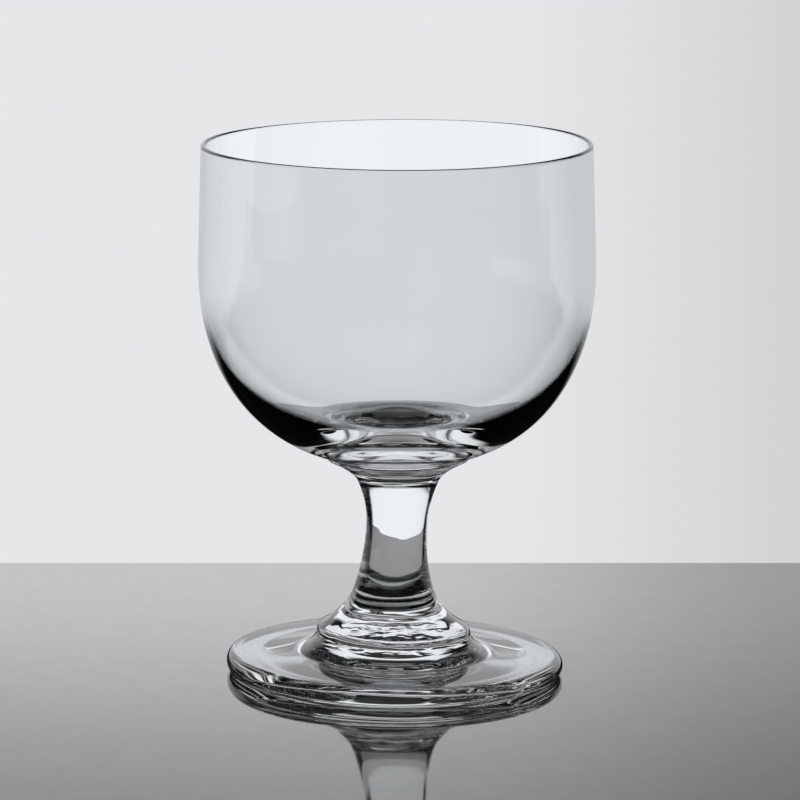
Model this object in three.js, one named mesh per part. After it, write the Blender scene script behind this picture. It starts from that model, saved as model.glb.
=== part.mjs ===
import * as THREE from 'three';

// A hand-blown rummer: a wide round-based bowl on a short waisted stem and a thick round foot.
// The glassmaker builds it from five gathers of clear glass, one on the other. Each gather is a
// turned solid about the vertical axis, and each meets the next on a flat round seat.
// Millimetres, +Z up, origin at the centre of the ring that the glass stands on.

// Foot: a disc with a fully rounded edge, coved up to the boss and hollow underneath.
const footRadius = 41.0;
const footEdgeThickness = 4.95;
const footTopRise = 0.5;
const footCoveHeight = 3.95;
const footCoveWidth = 5.45;
const standingRingWidth = 5.0;
const hollowDepth = 1.7;
const pontilRadius = 10.5;
const pontilDepth = 0.9;

// Boss: the cushion that the foot and the stem are both stuck to. Its lower edge is a rounded,
// almost upright band, and above that a shoulder slopes in to the stem.
const bossHeight = 8.2;
const bossSeatRadius = 18.85;
const bossEdgeHeight = 2.1;
const bossEdgeDraw = 0.55;

// Stem: solid, flared where it stands on the boss, waisted, then flared to the collar.
const stemSeatRadius = 11.0;
const stemRootHeight = 4.4;
const stemRootRadius = 9.3;
const stemTaperHeight = 14.5;
const stemWaistRadius = 7.4;
const stemFlareHeight = 11.5;

// Collar: a disc under the bowl, coved below, whose thin edge stands just proud of the bowl.
const collarSeatRadius = 10.1;
const collarCoveHeight = 4.9;
const collarEdgeThickness = 0.7;
const collarProud = 0.7;

// Bowl: round up to the belly, then drawn in a little to a thin rounded lip. The wall grows from
// less than a millimetre at the belly to a heavy base, and the floor rises to a low dome inside.
const bowlSeatRadius = 16.4;
const bowlRoundHeight = 47.4;
const bowlTaperHeight = 29.0;
const bellyRadius = 48.0;
const rimRadius = 47.15;
const lipThickness = 1.1;
const bellyWall = 0.9;
const bowlFloorThickness = 4.0;
const floorDomeHeight = 5.0;
const floorDomeRadius = 20.0;

// Where the control point of each curve lies, as shares of its run across and up.
const pontilShares = { across: 0.5, up: 0 };
const hollowShares = { across: 0.5, up: 0 };
const footCoveShares = { across: 0.7, up: 0.2 };
const bossEdgeShares = { across: 0, up: 0.5 };
const bossFlankShares = { across: 0.55, up: 0.35 };
const stemRootShares = { across: 0.67, up: 0.5 };
const stemTaperShares = { across: 1, up: 0.5 };
const stemFlareShares = { across: 0, up: 0.5 };
const collarCoveShares = { across: 0.2, up: 0.475 };

// How full the two round curves of the bowl are. Two is an ellipse, and more is squarer.
const outerFullness = { across: 2.45, down: 2.21 };
const innerFullness = { across: 2.6, down: 2.4 };

// Facets round the axis, and steps along the bowl's round curves and along the shorter ones.
const facets = 64;
const bowlSteps = 13;
const curveSteps = 6;

// Levels of the four seats, of the belly and of the rim.
const bossSeat = footEdgeThickness + footTopRise + footCoveHeight;
const stemSeat = bossSeat + bossHeight;
const collarSeat = stemSeat + stemRootHeight + stemTaperHeight + stemFlareHeight;
const bowlSeat = collarSeat + collarCoveHeight + collarEdgeThickness;
const bellyLevel = bowlSeat + bowlRoundHeight;
const rimLevel = bellyLevel + bowlTaperHeight;

const point = (radius, level) => new THREE.Vector2(radius, level);

// The points of a curve after its first, which ends the stretch before it.
const follow = (curve, steps) => curve.getPoints(steps).slice(1);

// A smooth stretch between two points, pulled towards a control point between them.
function bend(from, to, shares) {
  const control = point(
    from.x + (to.x - from.x) * shares.across,
    from.y + (to.y - from.y) * shares.up,
  );
  return follow(new THREE.QuadraticBezierCurve(from, control, to), curveSteps);
}

// An anticlockwise arc about a centre.
function arc(centre, radius, startAngle, endAngle) {
  const curve = new THREE.EllipseCurve(centre.x, centre.y, radius, radius, startAngle, endAngle);
  return follow(curve, curveSteps);
}

// The bowl's round curve, from the belly down to a lower point that it passes through. It is part
// of a quarter oval, whose depth follows from that point and from how full the oval is.
function roundBelow(belly, low, fullness) {
  const lowAngle = Math.acos((low.x / belly.x) ** (fullness.across / 2));
  const depth = (belly.y - low.y) / Math.sin(lowAngle) ** (2 / fullness.down);
  return Array.from({ length: bowlSteps + 1 }, (_, step) => {
    const angle = lowAngle * (step / bowlSteps);
    return point(
      belly.x * Math.cos(angle) ** (2 / fullness.across),
      belly.y - depth * Math.sin(angle) ** (2 / fullness.down),
    );
  });
}

// The bowl's floor with its dome: highest on the axis, and smooth where it meets the round curve.
function raiseFloor(place) {
  const riseShare = 1 - THREE.MathUtils.smoothstep(place.x, 0, floorDomeRadius);
  return point(place.x, place.y + floorDomeHeight * riseShare);
}

// Turns a profile about the vertical axis. The profile starts and ends on the axis and runs
// anticlockwise, so that the faces point outwards.
function gather(name, profile, color) {
  const geometry = new THREE.LatheGeometry(profile, facets);
  geometry.rotateX(Math.PI / 2);
  const glass = new THREE.MeshStandardMaterial({
    color,
    roughness: 0.03,
    metalness: 0,
    transparent: true,
    opacity: 0.35,
  });
  const mesh = new THREE.Mesh(geometry, glass);
  mesh.name = name;
  return mesh;
}

function makeFoot() {
  const edgeRadius = footEdgeThickness / 2;
  const edgeCentre = point(footRadius - edgeRadius, edgeRadius);
  const ringOuter = point(edgeCentre.x, 0);
  const ringInner = point(edgeCentre.x - standingRingWidth, 0);
  const hollowTop = point(0, hollowDepth + pontilDepth);
  const pontilEdge = point(pontilRadius, hollowDepth);
  const coveOuter = point(bossSeatRadius + footCoveWidth, footEdgeThickness + footTopRise);
  const seatEdge = point(bossSeatRadius, bossSeat);
  return gather('foot', [
    hollowTop,
    ...bend(hollowTop, pontilEdge, pontilShares),
    ...bend(pontilEdge, ringInner, hollowShares),
    ringOuter,
    ...arc(edgeCentre, edgeRadius, -Math.PI / 2, Math.PI / 2),
    coveOuter,
    ...bend(coveOuter, seatEdge, footCoveShares),
    point(0, bossSeat),
  ], '#e0e8e6');
}

function makeBoss() {
  const lowEdge = point(bossSeatRadius, bossSeat);
  const shoulder = point(bossSeatRadius - bossEdgeDraw, bossSeat + bossEdgeHeight);
  const topEdge = point(stemSeatRadius, stemSeat);
  return gather('boss', [
    point(0, bossSeat),
    lowEdge,
    ...bend(lowEdge, shoulder, bossEdgeShares),
    ...bend(shoulder, topEdge, bossFlankShares),
    point(0, stemSeat),
  ], '#e2e9e7');
}

function makeStem() {
  const lowEdge = point(stemSeatRadius, stemSeat);
  const rootTop = point(stemRootRadius, stemSeat + stemRootHeight);
  const waist = point(stemWaistRadius, rootTop.y + stemTaperHeight);
  const topEdge = point(collarSeatRadius, collarSeat);
  return gather('stem', [
    point(0, stemSeat),
    lowEdge,
    ...bend(lowEdge, rootTop, stemRootShares),
    ...bend(rootTop, waist, stemTaperShares),
    ...bend(waist, topEdge, stemFlareShares),
    point(0, collarSeat),
  ], '#e6edec');
}

function makeCollar() {
  const lowEdge = point(collarSeatRadius, collarSeat);
  const coveOuter = point(bowlSeatRadius + collarProud, collarSeat + collarCoveHeight);
  return gather('collar', [
    point(0, collarSeat),
    lowEdge,
    ...bend(lowEdge, coveOuter, collarCoveShares),
    point(coveOuter.x, bowlSeat),
    point(0, bowlSeat),
  ], '#e4ecea');
}

function makeBowl() {
  const lipRadius = lipThickness / 2;
  const lipCentre = point(rimRadius - lipRadius, rimLevel - lipRadius);
  const seatEdge = point(bowlSeatRadius, bowlSeat);
  const floorLow = point(0, bowlSeat + bowlFloorThickness);
  const outerBelly = point(bellyRadius, bellyLevel);
  const innerBelly = point(bellyRadius - bellyWall, bellyLevel);
  return gather('bowl', [
    point(0, bowlSeat),
    ...roundBelow(outerBelly, seatEdge, outerFullness).reverse(),
    point(rimRadius, lipCentre.y),
    ...arc(lipCentre, lipRadius, 0, Math.PI),
    ...roundBelow(innerBelly, floorLow, innerFullness).map(raiseFloor),
  ], '#e9efef');
}

const rummer = new THREE.Group();
rummer.name = 'rummer';
rummer.add(makeFoot(), makeBoss(), makeStem(), makeCollar(), makeBowl());

export default rummer;
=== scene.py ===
import bpy
import bmesh
import math
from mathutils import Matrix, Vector, noise


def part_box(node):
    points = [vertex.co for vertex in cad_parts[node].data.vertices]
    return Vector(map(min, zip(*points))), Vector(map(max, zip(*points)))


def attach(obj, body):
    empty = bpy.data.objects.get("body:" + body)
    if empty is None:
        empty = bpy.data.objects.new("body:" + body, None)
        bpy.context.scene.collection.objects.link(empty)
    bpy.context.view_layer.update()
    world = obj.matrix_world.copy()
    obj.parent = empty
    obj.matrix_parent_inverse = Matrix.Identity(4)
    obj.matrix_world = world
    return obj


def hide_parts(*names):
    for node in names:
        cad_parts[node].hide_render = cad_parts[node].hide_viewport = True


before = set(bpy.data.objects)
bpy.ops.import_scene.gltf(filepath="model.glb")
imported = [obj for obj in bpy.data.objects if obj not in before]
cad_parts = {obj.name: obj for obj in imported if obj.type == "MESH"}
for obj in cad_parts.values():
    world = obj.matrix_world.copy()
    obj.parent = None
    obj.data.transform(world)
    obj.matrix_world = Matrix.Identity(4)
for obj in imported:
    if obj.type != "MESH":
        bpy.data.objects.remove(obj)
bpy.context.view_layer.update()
print("frame loaded:", sorted(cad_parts))

mm = 0.001

# The photograph is taken from about 1.2 m away with a long lens, a little above the rim.
cameraView = {
    "distance": 1198.0 * mm,
    "height": 287.3 * mm,
    "aside": 0.7 * mm,  # the glass stands a hair left of the middle of the picture
    "tiltDown": 10.405,  # degrees
    "lens": 226.13,
    "sensor": 36.0,
}


def makeCamera():
    data = bpy.data.cameras.new("camera")
    data.lens = cameraView["lens"]
    data.sensor_width = cameraView["sensor"]
    camera = bpy.data.objects.new("camera", data)
    camera.location = (cameraView["aside"], -cameraView["distance"], cameraView["height"])
    camera.rotation_euler = (math.radians(90 - cameraView["tiltDown"]), 0, 0)
    bpy.context.scene.collection.objects.link(camera)
    bpy.context.scene.camera = camera


makeCamera()
print("camera placed")


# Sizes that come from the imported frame, in metres.
def boxOf(node):
    low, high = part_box(node)
    return {"low": low[2], "high": high[2], "radius": (high[0] - low[0]) / 2}


footBox, bossBox, stemBox, collarBox, bowlBox = (
    boxOf(node) for node in ("foot", "boss", "stem", "collar", "bowl")
)

# How the five pieces are turned.
turning = {
    "steps": 224,  # round the axis
    "profileStep": 0.45 * mm,
    "arcStep": 0.225 * mm,
    "fewestOnBend": 3,
    "fewestOnArc": 8,
    "bowlSteps": 110,  # on each of the bowl's two long curves
    "atSeat": 0.8 * mm,  # tool marks fade over this height towards a seat
    "level": 0.005 * mm,  # nearer than this counts as on a seat
    "weld": 0.001 * mm,
}
straight = (0.5, 0.5)


def smooth(value, low, high):
    share = min(max((value - low) / (high - low), 0), 1)
    return share * share * (3 - 2 * share)


# Points of a profile are pairs: radius and height. Each stretch leaves out its first point. A bend is
# pulled towards a point that lies these shares of the way across and up.
def bend(start, end, across, up):
    control = (start[0] + (end[0] - start[0]) * across, start[1] + (end[1] - start[1]) * up)
    length = math.dist(start, end)
    steps = max(turning["fewestOnBend"], round(length / turning["profileStep"]))
    points = []
    for step in range(1, steps + 1):
        t = step / steps
        points.append(tuple(
            (1 - t) ** 2 * a + 2 * t * (1 - t) * c + t * t * b for a, c, b in zip(start, control, end)
        ))
    return points


def arcRound(centre, radius, startAngle, endAngle):
    length = abs(endAngle - startAngle) * radius
    steps = max(turning["fewestOnArc"], round(length / turning["arcStep"]))
    return [
        (
            centre[0] + radius * math.cos(startAngle + (endAngle - startAngle) * step / steps),
            centre[1] + radius * math.sin(startAngle + (endAngle - startAngle) * step / steps),
        )
        for step in range(1, steps + 1)
    ]


# Part of a quarter oval, from the bowl's belly down to a lower point. Fuller than 2 is squarer.
def ovalBelow(belly, low, fullAcross, fullDown, steps):
    lowAngle = math.acos((low[0] / belly[0]) ** (fullAcross / 2))
    depth = (belly[1] - low[1]) / math.sin(lowAngle) ** (2 / fullDown)
    points = []
    for step in range(steps + 1):
        angle = lowAngle * (step / steps)
        points.append((
            belly[0] * max(math.cos(angle), 0) ** (2 / fullAcross),
            belly[1] - depth * math.sin(angle) ** (2 / fullDown),
        ))
    return points


# What hot glass and a hand leave: the foot is a little oval, the boss sits askew on it, the stem
# leans before it meets the bowl, and the rim waves.
handWork = {
    "footOval": 1.1 * mm,
    "ovalTurn": 135.0,  # degrees, to the foot's long way
    "roundUpStem": 12 * mm,  # up the stem to where it is round
    "askew": 0.018,  # rise over run
    "levelUpStem": 14 * mm,
    "leanAtFoot": -0.65 * mm,
    "leanAtBoss": -0.95 * mm,
    "leanAtCollar": 0.3 * mm,
    "straightUpBowl": 25 * mm,
    "rimWave": 0.15 * mm,
    "rimWaveTurn": 0.6,  # radians
    "waveUpBowl": 40 * mm,
}


def handMade(place):
    s = handWork
    x, y, z = place
    radius = math.hypot(x, y)
    turn = math.atan2(y, x)
    stemStart = stemBox["low"]
    bowlStart = bowlBox["low"]
    ovalShare = 1 - smooth(z, bossBox["low"], stemStart + s["roundUpStem"])
    grow = s["footOval"] * ovalShare * radius / footBox["radius"]
    grow *= math.cos(2 * (turn - math.radians(s["ovalTurn"])))
    x += grow * math.cos(turn)
    y += grow * math.sin(turn)
    askewShare = smooth(z, 0, bossBox["low"]) * (1 - smooth(z, stemStart, stemStart + s["levelUpStem"]))
    z -= x * s["askew"] * askewShare
    lean = s["leanAtFoot"]
    lean += (s["leanAtBoss"] - lean) * smooth(place[2], 0, stemStart)
    lean += (s["leanAtCollar"] - lean) * smooth(place[2], stemStart, stemBox["high"])
    lean += (0 - lean) * smooth(place[2], bowlStart, bowlStart + s["straightUpBowl"])
    x += lean
    waveShare = smooth(place[2], bowlStart + s["waveUpBowl"], bowlBox["high"])
    z += s["rimWave"] * math.sin(2 * turn + s["rimWaveTurn"]) * waveShare
    return Vector((x, y, z))


# Where two gathers are fused: the level of each flat seat, and how far from the axis it reaches.
seats = {
    "boss": {"level": bossBox["low"], "radius": bossBox["radius"]},
    "stem": {"level": stemBox["low"], "radius": 11.0 * mm},
    "collar": {"level": collarBox["low"], "radius": 10.1 * mm},
    "bowl": {"level": bowlBox["low"], "radius": 16.4 * mm},
}


def onSeat(face):
    for seat in seats.values():
        if all(abs(v.co.z - seat["level"]) < turning["level"] for v in face.verts):
            return max(v.co.xy.length for v in face.verts) < seat["radius"] + turning["level"]
    return False


def turnPiece(name, node, profile, material, surface):
    bm = bmesh.new()
    points = [bm.verts.new((radius, 0, level)) for radius, level in profile]
    outline = [bm.edges.new(pair) for pair in zip(points, points[1:])]
    bmesh.ops.spin(
        bm, geom=points + outline, cent=(0, 0, 0), axis=(0, 0, 1), dvec=(0, 0, 0),
        angle=math.tau, steps=turning["steps"], use_merge=True, use_duplicate=False,
    )
    bmesh.ops.remove_doubles(bm, verts=bm.verts, dist=turning["weld"])
    bmesh.ops.recalc_face_normals(bm, faces=bm.faces)
    bm.normal_update()
    for face in bm.faces:
        face.smooth = True
        face.material_index = 1 if onSeat(face) else 0
    for edge in bm.edges:
        kinds = {face.material_index for face in edge.link_faces}
        edge.smooth = len(kinds) == 1
    fixed = {v for edge in bm.edges if not edge.smooth for v in edge.verts}
    moves = {}
    for v in bm.verts:
        if v in fixed or all(face.material_index for face in v.link_faces):
            continue
        toSeat = min(abs(v.co.z - seat["level"]) for seat in seats.values())
        moves[v] = v.normal * surface(v.co, v.normal) * smooth(toSeat, 0, turning["atSeat"])
    for v, move in moves.items():
        v.co += move
    for v in bm.verts:
        v.co = handMade(v.co)
    mesh = bpy.data.meshes.new(name)
    bm.to_mesh(mesh)
    bm.free()
    mesh.materials.append(material)
    mesh.materials.append(fusedSeam)
    piece = bpy.data.objects.new(name, mesh)
    bpy.context.scene.collection.objects.link(piece)
    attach(piece, "root")
    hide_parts(node)
    print(name, "turned:", len(mesh.polygons), "faces")


# From an sRGB hex colour to the linear values that Blender's sockets hold.
def linear(hexColour):
    values = [int(hexColour[i:i + 2], 16) / 255 for i in (1, 3, 5)]
    return tuple(v / 12.92 if v <= 0.04045 else ((v + 0.055) / 1.055) ** 2.4 for v in values) + (1,)


# A link starts at a socket, or at the first output of a node.
def addNode(tree, kind, settings=(), links=()):
    node = tree.nodes.new(kind)
    for key, value in dict(settings).items():
        if isinstance(key, int) or key in node.inputs:
            node.inputs[key].default_value = value
        else:
            setattr(node, key, value)
    for key, source in dict(links).items():
        if isinstance(source, bpy.types.Node):
            source = source.outputs[0]
        tree.links.new(source, node.inputs[key])
    return node


def newMaterial(name):
    material = bpy.data.materials.new(name)
    material.use_nodes = True
    material.node_tree.nodes.clear()
    return material, material.node_tree


# Where two gathers are fused there is no surface left, so a seat shows nothing.
def makeSeam():
    material, tree = newMaterial("fusedSeam")
    clear = addNode(tree, "ShaderNodeBsdfTransparent")
    addNode(tree, "ShaderNodeOutputMaterial", links={"Surface": clear})
    return material


# Soda glass worked hot and fire-polished: clear and sharp, with striae where the gathers were drawn
# out, which bend what shows through, and a few seeds, which are small bubbles that reach the skin.
glassDetail = {
    "colour": "#fcfefe",
    "ior": 1.52,
    "striaDetail": 2.0,
    "seedSpacing": 12 * mm,
    "seedRadius": 0.26 * mm,
    "seedFloor": 1 / 3,  # of its radius
    "seedDepth": 0.05 * mm,
    "worn": 0.12 * mm,  # how far up the standing ring is rubbed
    "wornRoughness": 0.16,
    "wornGrain": 0.7 * mm,
}


def makeGlass(name, stria, drawn, depth, worn=False):
    material, tree = newMaterial(name)
    s = glassDetail
    place = addNode(tree, "ShaderNodeTexCoord").outputs["Object"]
    along = addNode(tree, "ShaderNodeMapping", {"Scale": drawn}, {"Vector": place})
    striae = addNode(tree, "ShaderNodeTexNoise", {"Scale": 1 / stria, "Detail": s["striaDetail"]}, {
        "Vector": along,
    })
    waves = addNode(tree, "ShaderNodeBump", {"Strength": 1.0, "Distance": depth}, {
        "Height": striae.outputs["Fac"],
    })
    spots = addNode(tree, "ShaderNodeTexVoronoi", {"Scale": 1 / s["seedSpacing"]}, {"Vector": place})
    reach = s["seedRadius"] / s["seedSpacing"]
    pits = addNode(tree, "ShaderNodeMapRange", {
        "interpolation_type": "SMOOTHSTEP",
        "From Min": reach * s["seedFloor"], "From Max": reach, "To Min": 0, "To Max": 1,
    }, {"Value": spots.outputs["Distance"]})
    seeds = addNode(tree, "ShaderNodeBump", {"Strength": 1.0, "Distance": s["seedDepth"]}, {
        "Height": pits, "Normal": waves,
    })
    glass = addNode(tree, "ShaderNodeBsdfPrincipled", {
        "Base Color": linear(s["colour"]),
        "Roughness": 0.0,
        "IOR": s["ior"],
        "Transmission Weight": 1.0,
    }, {"Normal": seeds})
    if worn:
        split = addNode(tree, "ShaderNodeSeparateXYZ", links={"Vector": place})
        rubbed = addNode(tree, "ShaderNodeMapRange", {
            "From Min": 0, "From Max": s["worn"], "To Min": s["wornRoughness"], "To Max": 0,
        }, {"Value": split.outputs["Z"]})
        grain = addNode(tree, "ShaderNodeTexNoise", {"Scale": 1 / s["wornGrain"]}, {"Vector": place})
        wear = addNode(tree, "ShaderNodeMath", {"operation": "MULTIPLY"}, {
            0: rubbed, 1: grain.outputs["Fac"],
        })
        tree.links.new(wear.outputs["Value"], glass.inputs["Roughness"])
    addNode(tree, "ShaderNodeOutputMaterial", links={"Surface": glass})
    return material


fusedSeam = makeSeam()
# Each glass: the width of its striae, how they are drawn out, and how deep they are.
# Blown: slow upright striae, so faint that the bowl looks empty.
bowlGlass = makeGlass("blownBowlGlass", 16 * mm, (1, 1, 0.4), 0.012 * mm)
# Pressed on hot: close level streaks that break up its highlights.
collarGlass = makeGlass("pressedCollarGlass", 2.5 * mm, (0.3, 0.3, 1), 0.006 * mm)
# Drawn by pulling: fine upright streaks that leave the window in it clean.
stemGlass = makeGlass("drawnStemGlass", 5 * mm, (1, 1, 0.3), 0.004 * mm)
# Shaped with wet wood: short level marks in which the highlights flicker.
bossGlass = makeGlass("tooledBossGlass", 3 * mm, (0.4, 0.4, 1), 0.008 * mm)
# Spun flat: slow waves all ways, and a grey rub underneath where it has stood on tables.
footGlass = makeGlass("spunFootGlass", 9 * mm, (1, 1, 1), 0.006 * mm, worn=True)
print("materials made")


# Tool rings round a piece, which drift up and down a little and swell and fade on the way round.
ringing = {
    "drift": 0.5 * mm,
    "driftRise": 6 * mm,
    "driftTurns": 1.3,
    "swellLeast": 0.6,
    "swellMore": 0.8,
    "swellRise": 2 * mm,
    "swellTurns": 2,
}


def ripple(place, wave, depth, seed):
    s = ringing
    turn = math.atan2(place.y, place.x)
    outward = Vector((math.cos(turn), math.sin(turn), 0))
    up = Vector((0, 0, 1))
    drift = noise.noise(outward * s["driftTurns"] + up * (place.z / s["driftRise"] + seed))
    level = place.z + s["drift"] * drift
    swell = noise.noise(outward * s["swellTurns"] + up * (place.z / s["swellRise"] - seed))
    return depth * (s["swellLeast"] + s["swellMore"] * swell) * math.sin(math.tau * level / wave)


bowlSizes = {
    "bellyAbove": 47.4 * mm,
    "rim": 47.15 * mm,
    "lip": 1.1 * mm,
    "bellyWall": 0.9 * mm,
    "floor": 4.0 * mm,
    "dome": 5.0 * mm,
    "domeRadius": 20.0 * mm,
    "outerFull": (2.45, 2.21),
    "innerFull": (2.6, 2.4),
}


# The bowl was blown and never touched by a tool, so its wall is clean.
def bowlSkin(place, normal):
    return 0


def makeBowl():
    s = bowlSizes
    belly = bowlBox["low"] + s["bellyAbove"]
    lipRadius = s["lip"] / 2
    lipCentre = (s["rim"] - lipRadius, bowlBox["high"] - lipRadius)
    foot = (seats["bowl"]["radius"], bowlBox["low"])
    outer = ovalBelow((bowlBox["radius"], belly), foot, *s["outerFull"], turning["bowlSteps"])
    innerBelly = (bowlBox["radius"] - s["bellyWall"], belly)
    floorLow = (0, bowlBox["low"] + s["floor"])
    inner = ovalBelow(innerBelly, floorLow, *s["innerFull"], turning["bowlSteps"])
    inner = [
        (radius, level + s["dome"] * (1 - smooth(radius, 0, s["domeRadius"]))) for radius, level in inner
    ]
    profile = [(0, bowlBox["low"])]
    profile += outer[::-1]
    profile += bend(outer[0], (s["rim"], lipCentre[1]), *straight)
    profile += arcRound(lipCentre, lipRadius, 0, math.pi)
    profile += bend((s["rim"] - s["lip"], lipCentre[1]), inner[0], *straight)
    profile += inner[1:]
    turnPiece("glassBowl", "bowl", profile, bowlGlass, bowlSkin)


collarSizes = {
    "edge": 0.7 * mm,
    "cove": (0.2, 0.475),
    "ring": 1.3 * mm,
    "ringDepth": 0.04 * mm,
    "seed": 3,
}


def collarSkin(place, normal):
    return ripple(place, collarSizes["ring"], collarSizes["ringDepth"], collarSizes["seed"])


def makeCollar():
    s = collarSizes
    edgeLow = (collarBox["radius"], collarBox["high"] - s["edge"])
    profile = [(0, collarBox["low"]), (seats["collar"]["radius"], collarBox["low"])]
    profile += bend(profile[-1], edgeLow, *s["cove"])
    profile += bend(edgeLow, (collarBox["radius"], collarBox["high"]), *straight)
    profile += [(seats["bowl"]["radius"], collarBox["high"]), (0, collarBox["high"])]
    turnPiece("glassCollar", "collar", profile, collarGlass, collarSkin)


stemSizes = {
    "rootHeight": 4.4 * mm,
    "rootRadius": 9.3 * mm,
    "taperHeight": 14.5 * mm,
    "waist": 7.4 * mm,
    "root": (0.67, 0.5),
    "taper": (1, 0.5),
    "flare": (0, 0.5),
    "ring": 2.1 * mm,
    "ringDepth": 0.006 * mm,
    "seed": 7,
}


def stemSkin(place, normal):
    return ripple(place, stemSizes["ring"], stemSizes["ringDepth"], stemSizes["seed"])


def makeStem():
    s = stemSizes
    low = (seats["stem"]["radius"], stemBox["low"])
    root = (s["rootRadius"], stemBox["low"] + s["rootHeight"])
    waist = (s["waist"], root[1] + s["taperHeight"])
    high = (seats["collar"]["radius"], stemBox["high"])
    profile = [(0, stemBox["low"]), low]
    profile += bend(low, root, *s["root"])
    profile += bend(root, waist, *s["taper"])
    profile += bend(waist, high, *s["flare"])
    profile += [(0, stemBox["high"])]
    turnPiece("glassStem", "stem", profile, stemGlass, stemSkin)


bossSizes = {
    "edgeHeight": 2.1 * mm,
    "edgeDraw": 0.55 * mm,
    "edge": (0, 0.5),
    "flank": (0.55, 0.35),
    "ridge": 0.05 * mm,
    "ridgeWave": 1.1 * mm,
    "ridgeFrom": 3.5 * mm,
    "ridgeTo": 1.5 * mm,
    "ridgeSeed": 11,
    "dimple": 0.07 * mm,
    "dimpleSize": 3.2 * mm,
    "dimpleSquash": 1.6,
    "dimpleOnRidges": 0.3,
}


# Tool marks: fine rings where the stem was pressed on, and flat dimples lower down.
def bossSkin(place, normal):
    s = bossSizes
    ringShare = smooth(place.z, bossBox["high"] - s["ridgeFrom"], bossBox["high"] - s["ridgeTo"])
    rings = ripple(place, s["ridgeWave"], s["ridge"], s["ridgeSeed"]) * ringShare
    spot = Vector((place.x, place.y, place.z * s["dimpleSquash"])) / s["dimpleSize"]
    return rings + s["dimple"] * noise.noise(spot) * (1 - (1 - s["dimpleOnRidges"]) * ringShare)


def makeBoss():
    low = (bossBox["radius"], bossBox["low"])
    high = (seats["stem"]["radius"], bossBox["high"])
    shoulder = (low[0] - bossSizes["edgeDraw"], low[1] + bossSizes["edgeHeight"])
    profile = [(0, bossBox["low"]), low]
    profile += bend(low, shoulder, *bossSizes["edge"])
    profile += bend(shoulder, high, *bossSizes["flank"])
    profile += [(0, bossBox["high"])]
    turnPiece("glassBoss", "boss", profile, bossGlass, bossSkin)


footSizes = {
    "edge": 4.95 * mm,
    "rise": 0.5 * mm,
    "coveWidth": 5.45 * mm,
    "ringWidth": 5.0 * mm,
    "hollow": 3.4 * mm,
    "easeRadius": 26.0 * mm,
    "easeLevel": 1.2 * mm,
    "pontilCurve": (0.5, 0),
    "hollowCurve": (0.4, 0),
    "easeCurve": (0.68, 1),
    "pontil": 10.5 * mm,  # radius
    "pontilDepth": 1.0 * mm,
    "scar": 0.2 * mm,
    "scarFrom": 7.35 * mm,
    "scarGrain": 3.6 * mm,
    "scarGrit": 1.2 * mm,
    "scarGritShare": 0.4,
    "wave": 0.03 * mm,
    "waveLength": 13 * mm,
    "flatFrom": 28 * mm,  # the waves underneath fade towards the standing ring
    "flatTo": 33 * mm,
    "facesDown": -0.5,
    "cove": (0.7, 0.2),
}


# Underneath, the pontil rod was snapped off and left a rough scar. The top has slow waves.
def footSkin(place, normal):
    s = footSizes
    radius = place.xy.length
    wave = s["wave"] * noise.noise(place / s["waveLength"])
    if normal.z > s["facesDown"]:
        return wave
    if radius > s["pontil"]:
        return wave * (1 - smooth(radius, s["flatFrom"], s["flatTo"]))
    share = 1 - smooth(radius, s["scarFrom"], s["pontil"])
    scar = noise.noise(place / s["scarGrain"]) + s["scarGritShare"] * noise.noise(place / s["scarGrit"])
    return share * s["scar"] * scar


def makeFoot():
    s = footSizes
    edgeRadius = s["edge"] / 2
    edgeCentre = (footBox["radius"] - edgeRadius, edgeRadius)
    ringInner = (edgeCentre[0] - s["ringWidth"], 0)
    top = (0, s["hollow"] + s["pontilDepth"])
    pontilEdge = (s["pontil"], s["hollow"])
    eased = (s["easeRadius"], s["easeLevel"])
    coveOuter = (bossBox["radius"] + s["coveWidth"], s["edge"] + s["rise"])
    shoulder = (edgeCentre[0], s["edge"])
    profile = [top]
    profile += bend(top, pontilEdge, *s["pontilCurve"])
    profile += bend(pontilEdge, eased, *s["hollowCurve"])
    profile += bend(eased, ringInner, *s["easeCurve"])
    profile += bend(ringInner, (edgeCentre[0], 0), *straight)
    profile += arcRound(edgeCentre, edgeRadius, -math.pi / 2, math.pi / 2)
    profile += bend(shoulder, coveOuter, *straight)
    profile += bend(coveOuter, (bossBox["radius"], footBox["high"]), *s["cove"])
    profile += [(0, footBox["high"])]
    turnPiece("glassFoot", "foot", profile, footGlass, footSkin)


makeFoot()
makeBoss()
makeStem()
makeCollar()
makeBowl()
print("glass turned")

# How many surfaces of glass light has crossed: more than none, or more than the two of a solid piece.
bends = {"any": 0.5, "solid": 2.5}

# A dark polished table, so what the camera sees on it is the mirrored backdrop and glass. Its back
# edge lies behind the glass, and the backdrop shows beyond and below it. Its mirror is painted with
# shade: darker from the back towards the front, lighter again nearest the camera, and darker to the
# right. Smudges and wiping marks break it a little.
table = {
    "back": 124 * mm,
    "front": -1600 * mm,
    "half": 1200 * mm,
    "drop": 0.03 * mm,  # under the glass, so that their faces don't coincide
    "body": "#1c1c1c",
    "roughness": 0.04,
    # Painted shade and light on the mirror: darker towards the front and to the right, lighter again
    # nearest the camera.
    "paintedShadeFrom": -190 * mm,
    "paintedShadeFront": 0.30,
    "paintedShadeBack": 0.68,
    "paintedLightNearFrom": -620 * mm,
    "paintedLightNear": 0.62,
    "paintedShadeRightFrom": -20 * mm,
    "paintedShadeRightTo": 110 * mm,
    "paintedShadeRight": 0.74,
    "steepFrom": 0.15,
    "steepTo": 0.55,
    "shineSteep": 0.06,
    "smudge": 9 * mm,
    "smudgeDetail": 5.0,
    "scratch": 1.6 * mm,
    "scratchDetail": 3.0,
    "scratchDraw": (0.4, 1, 1),
    "scratchTurn": (0, 0, 0.9),
    "markFrom": 0.1,
    "markTo": 0.4,
    "mark": 0.025,
}


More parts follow.
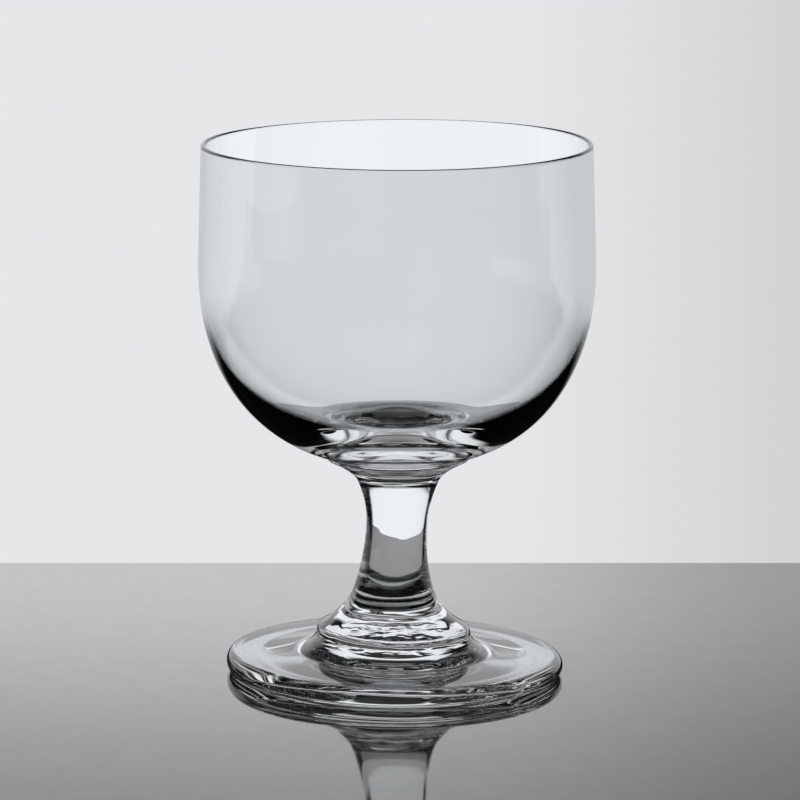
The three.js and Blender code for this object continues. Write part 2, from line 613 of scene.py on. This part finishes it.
def makeTable():
    bm = bmesh.new()
    bmesh.ops.create_grid(bm, x_segments=1, y_segments=1, size=1)
    for v in bm.verts:
        v.co.x *= table["half"]
        v.co.y = table["back"] if v.co.y > 0 else table["front"]
        v.co.z = -table["drop"]
    mesh = bpy.data.meshes.new("table")
    bm.to_mesh(mesh)
    bm.free()
    material, tree = newMaterial("polishedTable")
    place = addNode(tree, "ShaderNodeTexCoord").outputs["Object"]
    split = addNode(tree, "ShaderNodeSeparateXYZ", links={"Vector": place})
    # Painted shade on the mirror: darker from the back edge towards the front.
    far = addNode(tree, "ShaderNodeMapRange", {
        "interpolation_type": "SMOOTHSTEP", "From Min": table["paintedShadeFrom"], "From Max": table["back"],
        "To Min": table["paintedShadeFront"], "To Max": table["paintedShadeBack"],
    }, {"Value": split.outputs["Y"]})
    # Painted light on the mirror: lighter again nearest the camera.
    near = addNode(tree, "ShaderNodeMapRange", {
        "interpolation_type": "SMOOTHSTEP", "From Min": table["paintedShadeFrom"], "From Max": table["paintedLightNearFrom"],
        "To Min": 0, "To Max": table["paintedLightNear"],
    }, {"Value": split.outputs["Y"]})
    # Painted shade on the mirror: darker to the right.
    toRight = addNode(tree, "ShaderNodeMapRange", {
        "interpolation_type": "SMOOTHSTEP", "From Min": table["paintedShadeRightFrom"], "From Max": table["paintedShadeRightTo"],
        "To Min": 1, "To Max": table["paintedShadeRight"],
    }, {"Value": split.outputs["X"]})
    # The camera sees the shine as it is. Light that glass brings from the table shines only at a low
    # slant, and what glass mirrors of the table stays dark.
    slant = addNode(tree, "ShaderNodeLayerWeight")
    grazing = addNode(tree, "ShaderNodeMapRange", {
        "interpolation_type": "SMOOTHSTEP", "From Min": table["steepFrom"], "From Max": table["steepTo"],
        "To Min": table["shineSteep"], "To Max": 1,
    }, {"Value": slant.outputs["Facing"]})
    path = addNode(tree, "ShaderNodeLightPath")
    throughGlass = addNode(tree, "ShaderNodeMath", {"operation": "GREATER_THAN", 1: bends["any"]}, {
        0: path.outputs["Transmission Depth"],
    })
    lift = addNode(tree, "ShaderNodeMath", {"operation": "MULTIPLY"}, {0: grazing, 1: throughGlass})
    lift = addNode(tree, "ShaderNodeMath", {"operation": "MAXIMUM"}, {
        0: lift, 1: path.outputs["Is Camera Ray"],
    })
    stretched = addNode(tree, "ShaderNodeMapping", {
        "Scale": table["scratchDraw"], "Rotation": table["scratchTurn"],
    }, {"Vector": place})
    smudges = addNode(tree, "ShaderNodeTexNoise", {
        "Scale": 1 / table["smudge"], "Detail": table["smudgeDetail"],
    }, {"Vector": place})
    scratches = addNode(tree, "ShaderNodeTexNoise", {
        "Scale": 1 / table["scratch"], "Detail": table["scratchDetail"],
    }, {"Vector": stretched})
    marks = addNode(tree, "ShaderNodeMath", {"operation": "MULTIPLY"}, {
        0: smudges.outputs["Fac"], 1: scratches.outputs["Fac"],
    })
    wiped = addNode(tree, "ShaderNodeMapRange", {
        "From Min": table["markFrom"], "From Max": table["markTo"],
        "To Min": 1 - table["mark"], "To Max": 1 + table["mark"],
    }, {"Value": marks})
    # The mirror's painted shade and light, times its slant through glass and its smudges and wiping
    # marks.
    shine = addNode(tree, "ShaderNodeMath", {"operation": "MAXIMUM"}, {0: far, 1: near})
    for factor in (lift, toRight, wiped):
        shine = addNode(tree, "ShaderNodeMath", {"operation": "MULTIPLY"}, {0: shine, 1: factor})
    mirrorPaintedShadeAndSmudges = addNode(tree, "ShaderNodeCombineColor", links={"Red": shine, "Green": shine, "Blue": shine})
    body = addNode(tree, "ShaderNodeBsdfDiffuse", {"Color": linear(table["body"])})
    mirror = addNode(tree, "ShaderNodeBsdfGlossy", {"Roughness": table["roughness"]}, {"Color": mirrorPaintedShadeAndSmudges})
    top = addNode(tree, "ShaderNodeAddShader", links={0: body, 1: mirror})
    addNode(tree, "ShaderNodeOutputMaterial", links={"Surface": top})
    mesh.materials.append(material)
    floor = bpy.data.objects.new("table", mesh)
    bpy.context.scene.collection.objects.link(floor)


makeTable()
print("table laid")

# The studio round the table. The camera and the table's shine see one plain pale backdrop, a little
# darker to the right. Glass sees a bright field: lit windows in a dark room, which draws its edges.
# Azimuths run clockwise from +Y, and azimuths and elevations are in degrees. A window's kind says
# which light it gives: any, what came straight through glass, what came through both thin walls of
# the bowl, or what glass has mirrored.
studio = {
    "left": "#e5e7e9",
    "right": "#cdcfd0",
    "turnFrom": 0.5,
    "turnTo": 6,
    "room": 0.004,
    "solid": 1.2,  # light through the solid pieces and mirrored light
    "thinTable": 0.72,  # light from the table's shine, through the bowl and through the solid pieces
    "solidTable": 0.5,
    "mirroredNone": -6,  # mirrored light from lower than this comes from its own window alone
    "mirroredFull": 0,
    "windows": {
        "main": {
            "kind": "any", "azimuth": -6, "half": 52, "soft": 8,
            "low": -90, "high": 30, "softTop": 12, "light": 1.0,
        },
        "above": {
            "kind": "any", "azimuth": -6, "half": 46, "soft": 10,
            "low": 20, "high": 66, "softTop": 16, "light": 0.03,
        },
        "left": {
            "kind": "any", "azimuth": -90, "half": 34, "soft": 14,
            "low": -10, "high": 24, "softTop": 10, "light": 0.05,
        },
        "front": {
            "kind": "any", "azimuth": 170, "half": 40, "soft": 10,
            "low": 30, "high": 84, "softTop": 6, "light": 0.35,
        },
        "leftThroughBowl": {
            "kind": "thin", "azimuth": -66, "half": 50, "soft": 6,
            "low": -90, "high": 20, "softTop": 6, "light": 1.0,
        },
        "leftThroughStem": {
            "kind": "straight", "azimuth": -96, "half": 30, "soft": 6,
            "low": -90, "high": 20, "softTop": 6, "light": 0.9,
        },
        "rightThrough": {
            "kind": "straight", "azimuth": 135, "half": 40, "soft": 6,
            "low": -90, "high": 20, "softTop": 6, "light": 1.0,
        },
        "mirrored": {
            "kind": "mirrored", "azimuth": -15, "half": 110, "soft": 10,
            "low": -20, "high": 6, "softTop": 6, "light": 0.62,
        },
    },
}


def makeStudio():
    world = bpy.data.worlds.new("studio")
    bpy.context.scene.world = world
    world.use_nodes = True
    tree = world.node_tree
    tree.nodes.clear()
    path = addNode(tree, "ShaderNodeLightPath")
    place = addNode(tree, "ShaderNodeTexCoord")
    split = addNode(tree, "ShaderNodeSeparateXYZ", links={"Vector": place.outputs["Generated"]})
    azimuth = addNode(tree, "ShaderNodeMath", {"operation": "ARCTAN2"}, {
        0: split.outputs["X"], 1: split.outputs["Y"],
    })
    azimuth = addNode(tree, "ShaderNodeMath", {"operation": "DEGREES"}, {0: azimuth})
    elevation = addNode(tree, "ShaderNodeMath", {"operation": "ARCSINE"}, {0: split.outputs["Z"]})
    elevation = addNode(tree, "ShaderNodeMath", {"operation": "DEGREES"}, {0: elevation})

    # The table's shine is a little rough, so it brings what stands low behind it, however steep.
    unsharp = addNode(tree, "ShaderNodeMath", {"operation": "SUBTRACT", 0: 1}, {
        1: path.outputs["Is Singular Ray"],
    })
    offTable = addNode(tree, "ShaderNodeMath", {"operation": "MULTIPLY"}, {
        0: path.outputs["Is Glossy Ray"], 1: unsharp,
    })
    elsewhere = addNode(tree, "ShaderNodeMath", {"operation": "SUBTRACT", 0: 1}, {1: offTable})
    elevation = addNode(tree, "ShaderNodeMath", {"operation": "MULTIPLY"}, {0: elevation, 1: elsewhere})

    # Of a Mix node of colours, inputs 6 and 7 are the two colours and output 2 is the mixed one.
    toRight = addNode(tree, "ShaderNodeMapRange", {
        "interpolation_type": "SMOOTHSTEP", "From Min": studio["turnFrom"], "From Max": studio["turnTo"],
    }, {"Value": azimuth})
    backdrop = addNode(tree, "ShaderNodeMix", {
        "data_type": "RGBA", 6: linear(studio["left"]), 7: linear(studio["right"]),
    }, {"Factor": toRight}).outputs[2]

    # Light that glass has mirrored is told from light that went straight through it, and that again
    # from light through the two thin walls of the bowl, which has been bent at least three times.
    depth = path.outputs["Transmission Depth"]
    turned = addNode(tree, "ShaderNodeMath", {"operation": "MINIMUM", 1: 1}, {
        0: path.outputs["Glossy Depth"],
    })
    turned = addNode(tree, "ShaderNodeMath", {"operation": "SUBTRACT"}, {0: turned, 1: offTable})
    straightOn = addNode(tree, "ShaderNodeMath", {"operation": "SUBTRACT", 0: 1}, {1: turned})
    often = addNode(tree, "ShaderNodeMath", {"operation": "GREATER_THAN", 1: bends["solid"]}, {0: depth})
    thin = addNode(tree, "ShaderNodeMath", {"operation": "MULTIPLY"}, {0: straightOn, 1: often})
    bent = addNode(tree, "ShaderNodeMath", {"operation": "GREATER_THAN", 1: bends["any"]}, {0: depth})
    seldom = addNode(tree, "ShaderNodeMath", {"operation": "LESS_THAN", 1: bends["solid"]}, {0: depth})
    solid = addNode(tree, "ShaderNodeMath", {"operation": "MULTIPLY"}, {0: bent, 1: seldom})
    notSolid = addNode(tree, "ShaderNodeMath", {"operation": "SUBTRACT", 0: 1}, {1: solid})
    low = addNode(tree, "ShaderNodeMapRange", {
        "interpolation_type": "SMOOTHSTEP",
        "From Min": studio["mirroredNone"], "From Max": studio["mirroredFull"],
        "To Min": 1, "To Max": 0,
    }, {"Value": elevation})
    turnedLow = addNode(tree, "ShaderNodeMath", {"operation": "MULTIPLY"}, {0: turned, 1: low})
    notTurnedLow = addNode(tree, "ShaderNodeMath", {"operation": "SUBTRACT", 0: 1}, {1: turnedLow})
    kinds = {"any": notTurnedLow, "straight": straightOn, "thin": thin, "mirrored": turned}

    lit = addNode(tree, "ShaderNodeValue")
    lit.outputs["Value"].default_value = studio["room"]
    for window in studio["windows"].values():
        aside = addNode(tree, "ShaderNodeMath", {"operation": "SUBTRACT", 1: window["azimuth"]}, {
            0: azimuth,
        })
        aside = addNode(tree, "ShaderNodeMath", {"operation": "WRAP", 1: 180, 2: -180}, {0: aside})
        aside = addNode(tree, "ShaderNodeMath", {"operation": "ABSOLUTE"}, {0: aside})
        edges = [
            (aside, window["half"] - window["soft"], window["half"], 1, 0),
            (elevation, window["low"], window["low"] + window["soft"], 0, 1),
            (elevation, window["high"] - window["softTop"], window["high"], 1, 0),
        ]
        share = kinds[window["kind"]]
        for value, start, end, before, after in edges:
            edge = addNode(tree, "ShaderNodeMapRange", {
                "interpolation_type": "SMOOTHSTEP", "From Min": start, "From Max": end,
                "To Min": before, "To Max": after,
            }, {"Value": value})
            share = addNode(tree, "ShaderNodeMath", {"operation": "MULTIPLY"}, {0: share, 1: edge})
        share = addNode(tree, "ShaderNodeMath", {"operation": "MULTIPLY", 1: window["light"]}, {0: share})
        lit = addNode(tree, "ShaderNodeMath", {"operation": "MAXIMUM"}, {0: lit, 1: share})

    solidOrTurned = addNode(tree, "ShaderNodeMath", {"operation": "MAXIMUM"}, {0: solid, 1: turned})
    thinTable = addNode(tree, "ShaderNodeMath", {"operation": "MULTIPLY"}, {0: notSolid, 1: offTable})
    solidTable = addNode(tree, "ShaderNodeMath", {"operation": "MULTIPLY"}, {0: solid, 1: offTable})
    changes = [
        (solidOrTurned, studio["solid"]),
        (thinTable, studio["thinTable"]),
        (solidTable, studio["solidTable"]),
    ]
    for where, factor in changes:
        change = addNode(tree, "ShaderNodeMath", {
            "operation": "MULTIPLY_ADD", 1: factor - 1, 2: 1,
        }, {0: where})
        lit = addNode(tree, "ShaderNodeMath", {"operation": "MULTIPLY"}, {0: lit, 1: change})
    tone = addNode(tree, "ShaderNodeMix", {"data_type": "RGBA", 6: linear(studio["left"])}, {
        "Factor": thin, 7: backdrop,
    }).outputs[2]
    field = addNode(tree, "ShaderNodeVectorMath", {"operation": "SCALE"}, {"Vector": tone, "Scale": lit})

    # Through glass counts from the first refraction on, and a mirror-sharp reflection with it.
    inGlass = addNode(tree, "ShaderNodeMath", {"operation": "MAXIMUM"}, {
        0: path.outputs["Is Transmission Ray"], 1: path.outputs["Is Singular Ray"],
    })
    inGlass = addNode(tree, "ShaderNodeMath", {"operation": "MAXIMUM"}, {0: inGlass, 1: depth})
    inGlass = addNode(tree, "ShaderNodeMath", {"operation": "MINIMUM", 1: 1}, {0: inGlass})
    notCamera = addNode(tree, "ShaderNodeMath", {"operation": "SUBTRACT", 0: 1}, {
        1: path.outputs["Is Camera Ray"],
    })
    inGlass = addNode(tree, "ShaderNodeMath", {"operation": "MULTIPLY"}, {0: inGlass, 1: notCamera})
    seen = addNode(tree, "ShaderNodeMix", {"data_type": "RGBA"}, {
        "Factor": inGlass, 6: backdrop, 7: field,
    }).outputs[2]
    light = addNode(tree, "ShaderNodeBackground", links={"Color": seen})
    addNode(tree, "ShaderNodeOutputWorld", links={"Surface": light})


makeStudio()
print("studio lit")

# Light crosses many glass walls, but what glass mirrors again and again inside itself goes dark.
bounces = {"throughGlass": 24, "mirrored": 9}

scene = bpy.context.scene
scene.view_settings.view_transform = "Standard"
scene.cycles.max_bounces = bounces["throughGlass"]
scene.cycles.transmission_bounces = bounces["throughGlass"]
scene.cycles.glossy_bounces = bounces["mirrored"]
scene.cycles.transparent_max_bounces = bounces["throughGlass"]
